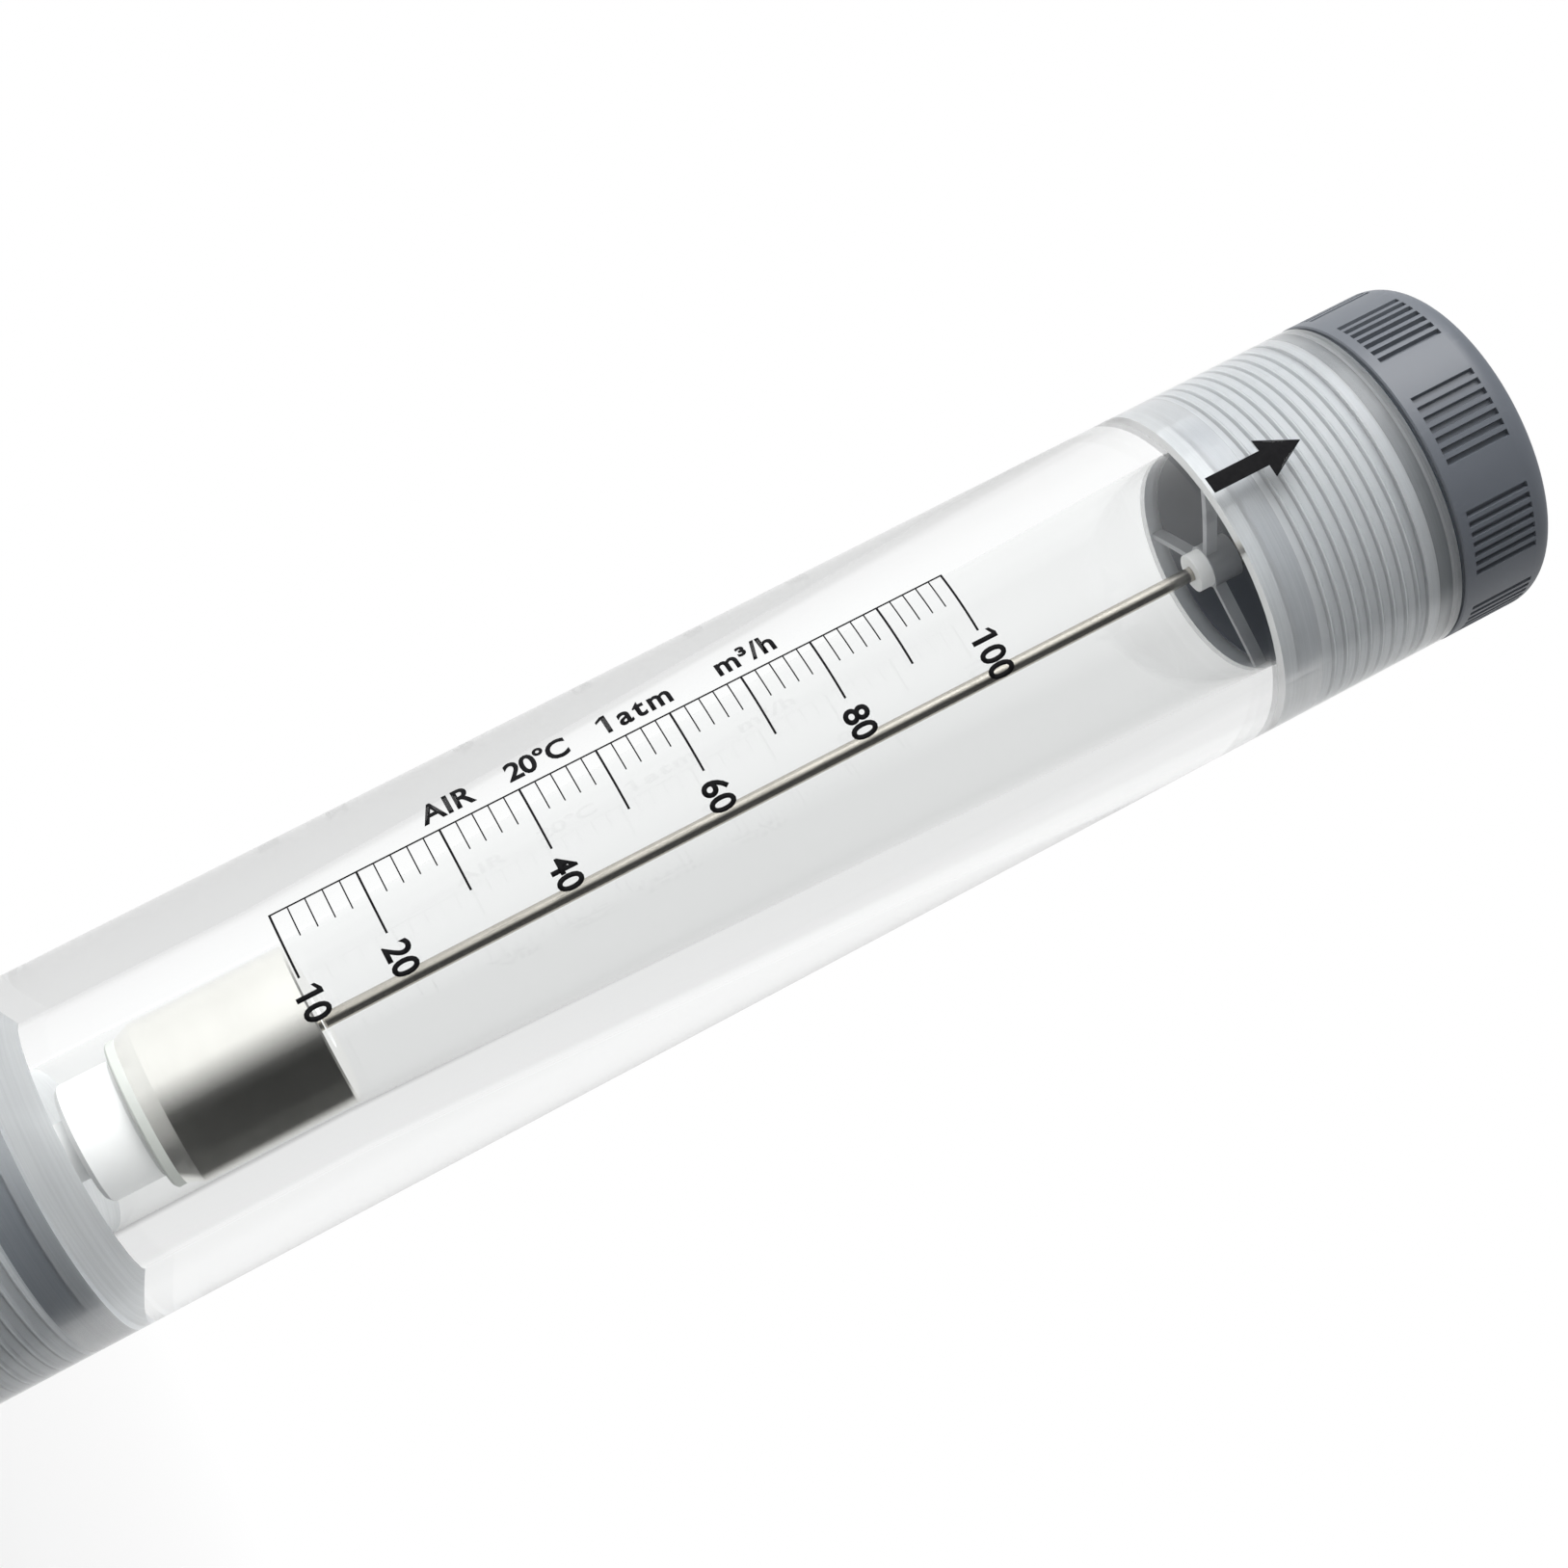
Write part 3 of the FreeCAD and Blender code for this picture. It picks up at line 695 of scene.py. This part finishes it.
# %% Clear plastic
def clear_plastic():
    """Clear cast plastic, polished outside and in the bore, frosted where a tool has cut it.

    The frost is white and matt, and some light comes through it from behind. Its share
    comes from one attribute, times fine tool lines. A second one says how much light comes
    through, and a third one darkens the frost: with painted shade on the end chamfers and
    on the lower bored end, and with the black of the seal rings behind the wall.
    """
    graph = material_graph("clear_plastic")
    cut = graph.node("ShaderNodeAttribute", {"attribute_name": "tool_cut"}, output="Fac")
    polish = graph.noise(60.0, 2.0) * 0.01
    clear = graph.shader(
        Base_Color=(0.985, 0.992, 0.99, 1.0),
        Roughness=cut * 0.3 + polish,
        IOR=1.49,
        Transmission_Weight=1.0,
    )
    lines = graph.noise(1.0, 3.0, (25.0, 25.0, 1.0 / (0.3 * MM)), 0.7)
    # Painted shade: the shade attribute mixes the frost towards a dark blue-grey on the end
    # chamfers, the lower relief and the lower threads; at the seals it stands for the black
    # ring behind the wall.
    shade = graph.node("ShaderNodeAttribute", {"attribute_name": "shade"}, output="Fac")
    white = graph.mix(lines, (0.57, 0.595, 0.61, 1.0), (0.73, 0.75, 0.76, 1.0))
    scattered = graph.shader(
        Base_Color=graph.mix(shade, white, (0.03, 0.04, 0.052, 1.0)),
        Roughness=0.6,
        Normal=graph.bump(lines, 0.02 * MM, 0.4),
    )
    glow = graph.node("ShaderNodeAttribute", {"attribute_name": "lit_through"}, output="Fac")
    through = graph.node("ShaderNodeBsdfTranslucent", {}, {"Color": (0.80, 0.82, 0.83, 1.0)})
    frost = graph.node("ShaderNodeMixShader", {}, {0: glow, 1: scattered, 2: through})
    share = graph.between(cut * (0.84 + 0.32 * lines), 0.0, 1.0)
    return graph.finish(graph.node("ShaderNodeMixShader", {}, {0: share, 1: clear, 2: frost}))


# %% [markdown]
# The fittings come out of a mould with a satin face, and hands scuff the ridges between
# the grip grooves. The scuffs are told by the radius, so the grooves stay clean.

# %% Grey plastic
def grey_plastic():
    """Moulded plastic, dark slate grey: satin, a little scuffed on the proud ridges."""
    graph = material_graph("grey_plastic")
    radius = graph.radius()
    ridge = graph.between(radius, tube_r - 0.5 * MM, tube_r)
    cloud = graph.noise(45.0, 4.0)
    scuff = graph.between(graph.noise(220.0, 5.0, (1.0, 1.0, 0.35), 0.65), 0.62, 0.8) * ridge
    body = graph.mix(cloud, (0.120, 0.133, 0.154, 1.0), (0.146, 0.160, 0.184, 1.0))
    colour = graph.mix(scuff * 0.35, body, (0.22, 0.235, 0.26, 1.0))
    grain = graph.noise(1800.0, 2.0)
    return graph.surface(
        Base_Color=colour,
        Roughness=0.36 + 0.16 * cloud - 0.06 * scuff,
        IOR=1.5,
        Normal=graph.bump(grain, 0.02 * MM, 0.12),
    )


# %% [markdown]
# The seal rings show only as a dark band behind the wall, so plain black rubber will do.

# %% Rubber
def seal_rubber():
    """Black rubber with a faint bloom."""
    graph = material_graph("seal_rubber")
    bloom = graph.noise(300.0, 4.0)
    colour = graph.mix(bloom, (0.018, 0.019, 0.022, 1.0), (0.04, 0.042, 0.048, 1.0))
    return graph.surface(Base_Color=colour, Roughness=0.5 + 0.2 * bloom)


# %% [markdown]
# The spiders are moulded without a dye, and look milky. Light that is scattered inside
# them could be traced, but they are thin, and a part of plain transmission gives the same.

# %% Natural plastic of the spiders
def natural_plastic():
    """Moulded natural plastic: milky, lets some light through."""
    graph = material_graph("natural_plastic")
    cloud = graph.noise(150.0, 3.0)
    colour = graph.mix(cloud, (0.42, 0.44, 0.47, 1.0), (0.56, 0.58, 0.60, 1.0))
    return graph.surface(
        Base_Color=colour,
        Roughness=0.34 + 0.1 * cloud,
        IOR=1.5,
        Transmission_Weight=0.45,
        Normal=graph.bump(cloud, 0.05 * MM, 0.3),
    )


# %% [markdown]
# The stops, the float's foot and its bushes are turned from white rod. The tool leaves
# rings too fine to model, so a bump draws them, a sine of the radius and the height.

# %% White plastic of stops, foot and bushes
STOP_R = reach("lower_stop")


def turned_plastic():
    """White turned plastic: satin, with the fine rings of the tool.

    The wide foot of the float is painted grey-green, told by its radius: painted shade.
    """
    graph = material_graph("turned_plastic")
    foot = graph.between(graph.radius(), STOP_R + 0.1 * MM, STOP_R + 0.2 * MM)
    _, _, z = graph.split()
    rings = graph.node(
        "ShaderNodeMath", {"operation": "SINE"},
        {0: (graph.radius() + z) * (2.0 * math.pi / (0.25 * MM))})
    cloud = graph.noise(90.0, 3.0)
    white = graph.mix(cloud, (0.76, 0.77, 0.77, 1.0), (0.88, 0.885, 0.88, 1.0))
    # Painted shade: the foot's darker grey-green stands in for the shade on it
    painted_shade_grey = graph.mix(cloud, (0.42, 0.44, 0.42, 1.0), (0.54, 0.56, 0.53, 1.0))
    return graph.surface(
        Base_Color=graph.mix(foot, white, painted_shade_grey),
        Roughness=0.4 + 0.1 * cloud,
        Normal=graph.bump(rings, 0.004 * MM, 0.5),
    )


# %% [markdown]
# The rod is ground and the float is turned, so both have fine lines that run round them.
# Noise that is squeezed along the axis gives such lines, uneven as real ones are.

# %% Metals
METAL_ROUGHNESS = 0.1


def turned_metal(name, colour, dark, ring):
    """Bright turned or ground metal: fine lines run round, and the lustre varies a little."""
    graph = material_graph(name)
    lines = graph.noise(1.0, 3.0, (40.0, 40.0, 1.0 / ring), 0.6)
    cloud = graph.noise(120.0, 4.0)
    return graph.surface(
        Base_Color=graph.mix(lines * 0.4 + cloud * 0.6, dark, colour),
        Metallic=1.0,
        Roughness=METAL_ROUGHNESS + 0.04 * lines + 0.04 * cloud,
        Normal=graph.bump(lines, 0.004 * MM, 0.1),
    )


# %% [markdown]
# The scale is screen-printed in black. The ink lies so thin that it hardly shines.

# %% Ink
def black_ink():
    """Screen-printed black ink, a little thin in places."""
    graph = material_graph("black_ink")
    thin = graph.noise(900.0, 4.0)
    colour = graph.mix(thin, (0.004, 0.004, 0.005, 1.0), (0.016, 0.016, 0.017, 1.0))
    return graph.surface(Base_Color=colour, Roughness=0.6 + 0.2 * thin, Specular_IOR_Level=0.05)


# %% [markdown]
# ## Where the tube is matt
# The bored and screw-cut ends are matt, and so is the cone at the inlet. Where the seal
# ring presses on the wall, the frost is darkened for the black ring behind it. Painted
# shade darkens the outer chamfers at both ends, a dark line where the gap to the fitting
# lies, and the relief and the threads of the lower end. Vertex paint could hold this, but
# the zones follow from the sizes of the tube, so each face is told by its place.

# %% Shares of frost, shade and light
END_FROST = 0.7
MOUTH_FROST = 0.78
SEAL_FROST = 0.75
SEAL_SHADE = 0.72
THREAD_FROST = 0.92
LOWER_RELIEF_FROST = 0.6
# Painted shade over the relief and the threads of the lower end only
LOWER_RELIEF_SHADE = 0.84
LOWER_THREAD_SHADE = 0.3
UPPER_RELIEF_FROST = 0.6
LOWER_SHOULDER_FROST = 0.8
UPPER_SHOULDER_FROST = 0.45
CONE_FROST = 0.85
LIT_BORE = 0.45
LIT_INLET = 0.65
ZONE_MARGIN = 0.05 * MM


# %% Mark the surfaces that a tool has left matt
def add_share(mesh, name, share):
    """Attribute with one number for each face."""
    attribute = mesh.attributes.new(name, "FLOAT", "FACE")
    attribute.data.foreach_set("value", share.astype(np.float32))


def face_centres(mesh):
    """Radius and height of the middle of each face."""
    centre = np.zeros(3 * len(mesh.polygons))
    mesh.polygons.foreach_get("center", centre)
    x, y, height = centre.reshape(-1, 3).T
    return np.hypot(x, y), height


def mark_tool_cuts(mesh):
    """Share of frost of each face, of light through it, and of darkening: painted shade on
    the end chamfers and the lower end, and the black of the seal rings behind the wall.

    A face is told by the radius and the height of its centre. The bored ends are split
    into zones by the distance from the tube's end.
    """
    radius, height = face_centres(mesh)
    low_end = height < tube_middle
    from_end = np.where(low_end, height - tube_low, tube_high - height)
    # The outer chamfers count as outside, the flat ends don't
    outside = radius > tube_r - 0.9 * EDGE_CHAMFER
    shoulder = lower_shoulder - tube_low

    def zone(start, stop):
        """Faces inside the tube that lie between two distances from its end."""
        return ~outside & (from_end >= start) & (from_end < stop)

    thread_start = MOUTH_DEPTH - ZONE_MARGIN
    thread_end = MOUTH_DEPTH + THREAD_LENGTH
    # Painted shadow: the outer chamfers at both ends take full shade, a dark line where the gap
    # to the fitting lies
    edge = outside & (from_end < EDGE_CHAMFER)
    end = zone(0.0, EDGE_CHAMFER)
    seal = zone(low_z("lower_o_ring") - tube_low, high_z("lower_o_ring") - tube_low)
    mouth = zone(EDGE_CHAMFER, thread_start) & ~seal
    ridges = zone(thread_start, thread_end)
    relief = zone(thread_end, shoulder)
    step = zone(shoulder, shoulder + ZONE_MARGIN)
    cone = low_end & zone(shoulder + ZONE_MARGIN, shoulder + INLET_CONE)
    frost = np.select(
        [edge, end, seal, mouth, ridges, cone,
         relief & low_end, relief & ~low_end, step & low_end, step & ~low_end],
        [1.0, END_FROST, SEAL_FROST, MOUTH_FROST, THREAD_FROST, CONE_FROST,
         LOWER_RELIEF_FROST, UPPER_RELIEF_FROST, LOWER_SHOULDER_FROST, UPPER_SHOULDER_FROST],
        0.0)
    through = np.select(
        [edge | seal, low_end & (from_end >= shoulder)], [0.0, LIT_INLET], LIT_BORE)
    # Painted shade: full on the end chamfers and strong over the lower relief and threads; the
    # seal zone is darkened for the black ring behind it
    shade = np.select(
        [edge, seal, relief & low_end, ridges & low_end],
        [1.0, SEAL_SHADE, LOWER_RELIEF_SHADE, LOWER_THREAD_SHADE], 0.0)
    add_share(mesh, "tool_cut", frost)
    add_share(mesh, "lit_through", through)
    add_share(mesh, "shade", shade)
    print("frosted faces:", int(np.count_nonzero(frost)), "of", len(frost))


mark_tool_cuts(tube.data)

# %% [markdown]
# ## Which finish goes where
# A solid keeps its mesh and gets its material in its own slots. The new pieces are told
# which body they move with and which finish of the record they stand for. The tube casts
# no hard shadow, as a clear tube lets the light on to the pieces inside it.

# %% Finishes
finishes = {
    "clear_tube": clear_plastic(),
    "grey_fitting": grey_plastic(),
    "seal_rubber": seal_rubber(),
    "spider_plastic": natural_plastic(),
    "white_plastic": turned_plastic(),
    "rod_steel": turned_metal(
        "ground_steel", colour=(0.58, 0.55, 0.50, 1.0), dark=(0.44, 0.42, 0.37, 1.0),
        ring=0.4 * MM),
    "float_metal": turned_metal(
        "turned_aluminium", colour=(0.92, 0.91, 0.87, 1.0), dark=(0.82, 0.81, 0.77, 1.0),
        ring=0.2 * MM),
}
ink = black_ink()


def paint(piece, material):
    """Give a piece this one material."""
    piece.data.materials.clear()
    piece.data.materials.append(material)


for subpart in frame["record"]["subparts"]:
    paint(frame["nodes"][subpart["node"]], finishes[subpart["material_slot"]])


def join_meter(piece, material):
    """A new piece of the fixed body, in one of the record's finishes."""
    paint(piece, material)
    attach(piece, "meter")


join_meter(tube, finishes["clear_tube"])
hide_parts("metering_tube")
tube.visible_shadow = False
for piece in (upper_male, lower_male):
    join_meter(piece, finishes["grey_fitting"])
for piece in [scale_marks, arrow] + letters:
    join_meter(piece, ink)
print("finishes:", ", ".join(sorted(finishes)))

# %% [markdown]
# ## The studio
# Clear plastic shows its surroundings, not itself. So the room is painted for it: a white
# wall behind the meter, a bright side on the left, where the window would be, and a
# darker side in front on the right. Rays that pass through the tube or bounce off the
# metal see that room. The eye sees plain white, and matt pieces are lit by the lamps.

# %% Tone of the room
WHITE = grey(1.0)
BLACK = grey(0.0)
CEILING = grey(0.22)
FRONT_TO_BACK = (0.05, 0.3)
WALL_TO_CEILING = (0.45, 0.85)
BACKDROP = [(0.0, 0.94), (0.48, 0.94), (0.56, 0.78), (1.0, 0.78)]
BEHIND = [(0.0, 1.0), (0.48, 0.94), (0.58, 0.86), (1.0, 0.84)]
IN_FRONT = [
    (0.0, 1.1), (0.3, 1.1), (0.42, 0.65), (0.52, 0.33), (0.62, 0.07), (0.72, 0.03), (1.0, 0.05)]


def room_tone(graph, sideways, depth, overhead):
    """Grey of the room in a direction.

    Rays that have bounced off something shiny see one ramp behind the meter, one in front
    and a dim ceiling. Rays that only pass through the tube see the plain backdrop.
    """
    share = sideways * 0.5 + 0.5
    behind = graph.ramp(share, BEHIND)
    front = graph.ramp(share, IN_FRONT)
    level = graph.mix(graph.between(depth, *FRONT_TO_BACK), front, behind)
    room = graph.mix(graph.between(overhead, *WALL_TO_CEILING), level, CEILING)
    clear_ray = graph.node("ShaderNodeLightPath", output="Is Transmission Ray")
    bounces = graph.node("ShaderNodeLightPath", output="Glossy Depth")
    straight = clear_ray * (1.0 - graph.between(bounces, 0.0, 1.0))
    return graph.mix(straight, room, graph.ramp(share, BACKDROP))


def length(first, second):
    """Length of a level arrow from its two parts."""
    return (first * first + second * second) ** 0.5


# %% World
DIMMED_FOR_MATT = 0.3


def make_world():
    """White for the eye, and the room's tone for clear and shiny pieces."""
    world = bpy.data.worlds.new("studio")
    bpy.context.scene.world = world
    graph = Graph(world, "Generated")
    x, y, z = graph.split()
    level = length(x, y)
    tone = room_tone(graph, x / level, y / level, z)
    eye = graph.node("ShaderNodeLightPath", output="Is Camera Ray")
    seen = graph.mix(eye, tone, WHITE)
    diffuse = graph.node("ShaderNodeLightPath", output="Is Diffuse Ray")
    colour = graph.mix(diffuse * DIMMED_FOR_MATT, seen, BLACK)
    background = graph.node("ShaderNodeBackground", {}, {"Color": colour, "Strength": 1.0})
    graph.finish(background, "ShaderNodeOutputWorld")


make_world()


# %% Floor
FLOOR_R = 3.0
FLOOR_Z = -0.0002
FLOOR_SIDES = 96
FLOOR_PAINT = grey(0.5)
NEAR_TONE = grey(0.8)
NEAR_SHARE = 0.9
NEAR_FADE = (0.07, 0.11)
FAR_FADE = (0.2, 0.8)
SHADOW_SHARE = 0.2
SHADOW_FADE = (0.1, 0.4)


def make_floor():
    """Wide round floor, pale, that melts into the white behind it and keeps a soft shadow.

    Clear and shiny pieces see it pale close by, and in the room's tone further out.
    """
    angle = np.linspace(0.0, 2.0 * math.pi, FLOOR_SIDES, endpoint=False)
    level = np.full(FLOOR_SIDES, FLOOR_Z)
    rim = np.stack([FLOOR_R * np.cos(angle), FLOOR_R * np.sin(angle), level], axis=-1)
    mesh = bpy.data.meshes.new("floor")
    mesh.from_pydata(rim, [], [list(range(FLOOR_SIDES))])
    floor = bpy.data.objects.new("floor", mesh)
    bpy.context.scene.collection.objects.link(floor)
    graph = material_graph("floor_paint")
    x, y, _ = graph.split()
    distance = length(x, y)
    lit = graph.node("ShaderNodeBsdfDiffuse", {}, {"Color": FLOOR_PAINT})
    eye = graph.node("ShaderNodeLightPath", output="Is Camera Ray")
    near = NEAR_SHARE * graph.between(distance, *NEAR_FADE)
    far = near + (1.0 - NEAR_SHARE) * graph.between(distance, *FAR_FADE)
    room = room_tone(graph, x / distance, y / distance, 0.0)
    tone = graph.mix(far, NEAR_TONE, room)
    seen = graph.mix(eye, tone, WHITE)
    bright = graph.node("ShaderNodeEmission", {}, {"Color": seen, "Strength": 1.0})
    glossy_ray = graph.node("ShaderNodeLightPath", output="Is Glossy Ray")
    clear_ray = graph.node("ShaderNodeLightPath", output="Is Transmission Ray")
    mirrored = (1.0 - eye) * graph.between(glossy_ray + clear_ray, 0.0, 1.0)
    plain = (1.0 - SHADOW_SHARE) + SHADOW_SHARE * graph.between(distance, *SHADOW_FADE)
    shader = graph.node(
        "ShaderNodeMixShader", {}, {0: eye * plain + mirrored, 1: lit, 2: bright})
    paint(floor, graph.finish(shader))


make_floor()


# %% [markdown]
# ## The lamps
# Three soft lamps light the matt pieces and the floor: a strong one at the front left, a
# second one overhead and a weak one that opens the shadows on the right.

# %% Lamps
def area_lamp(name, place, size, power, sheen=False):
    """Square soft lamp at a place, aimed at the middle of the tube.

    The lamps light the pieces but aren't mirrored in them, as the room's tone already
    gives the clear plastic and the metal something to mirror. One lamp may leave a sheen
    on the satin pieces.
    """
    data = bpy.data.lights.new(name, "AREA")
    data.cycles.use_multiple_importance_sampling = False
    data.shape = "SQUARE"
    data.size = size
    data.energy = power
    lamp = bpy.data.objects.new(name, data)
    bpy.context.scene.collection.objects.link(lamp)
    lamp.location = place
    lamp.visible_glossy = sheen
    lamp.visible_transmission = False
    aim = np.array([0.0, 0.0, tube_middle]) - np.array(place)
    lamp.rotation_euler = Vector(aim).to_track_quat("-Z", "Y").to_euler()


area_lamp("key_lamp", (-1.05, -0.85, 0.7), size=1.0, power=20.0, sheen=True)
area_lamp("top_lamp", (-0.2, 0.4, 1.3), size=0.7, power=8.0)
area_lamp("fill_lamp", (1.15, -0.45, 0.5), size=0.9, power=4.0)

# %% [markdown]
# ## The camera
# The meter is seen from the front and a little from below, with the camera rolled so
# that the tube climbs from lower left to upper right. The roll and the tilt are angles;
# the camera's place follows from its distance to a point on the axis.

# %% Camera
LENS = 56.29
FILM_WIDTH = 36.0
TILT = math.radians(8.77)
ROLL = math.radians(27.30)
DISTANCE = 0.477
AIM_BELOW_TOP = 154.8 * MM


def make_camera():
    """Camera aimed at a point on the axis, turned about its own line of sight."""
    top = high_z("upper_end_fitting")
    aim = np.array([0.0, 0.0, top - AIM_BELOW_TOP])
    sight = np.array([0.0, math.cos(TILT), math.sin(TILT)])
    up_tube = np.array([0.0, -math.sin(TILT), math.cos(TILT)])
    across = np.array([1.0, 0.0, 0.0])
    right = math.cos(ROLL) * up_tube + math.sin(ROLL) * across
    up = math.sin(ROLL) * up_tube - math.cos(ROLL) * across
    place = aim - DISTANCE * sight
    data = bpy.data.cameras.new("camera")
    data.lens = LENS
    data.sensor_width = FILM_WIDTH
    camera = bpy.data.objects.new("camera", data)
    bpy.context.scene.collection.objects.link(camera)
    rows = [[right[i], up[i], -sight[i], place[i]] for i in range(3)] + [[0.0, 0.0, 0.0, 1.0]]
    camera.matrix_world = Matrix(rows)
    bpy.context.scene.camera = camera


make_camera()
bpy.context.scene.view_settings.view_transform = "Standard"

# %% [markdown]
# The bore and the wall are polished so smooth that a chance ray to the lamp can come back
# hundreds of times too bright and leave a white spot. No single ray may count for more
# than a few times plain white.

# %% Brightest ray
BRIGHTEST_RAY = 4.0
bpy.context.scene.cycles.sample_clamp_direct = BRIGHTEST_RAY
bpy.context.scene.cycles.sample_clamp_indirect = BRIGHTEST_RAY
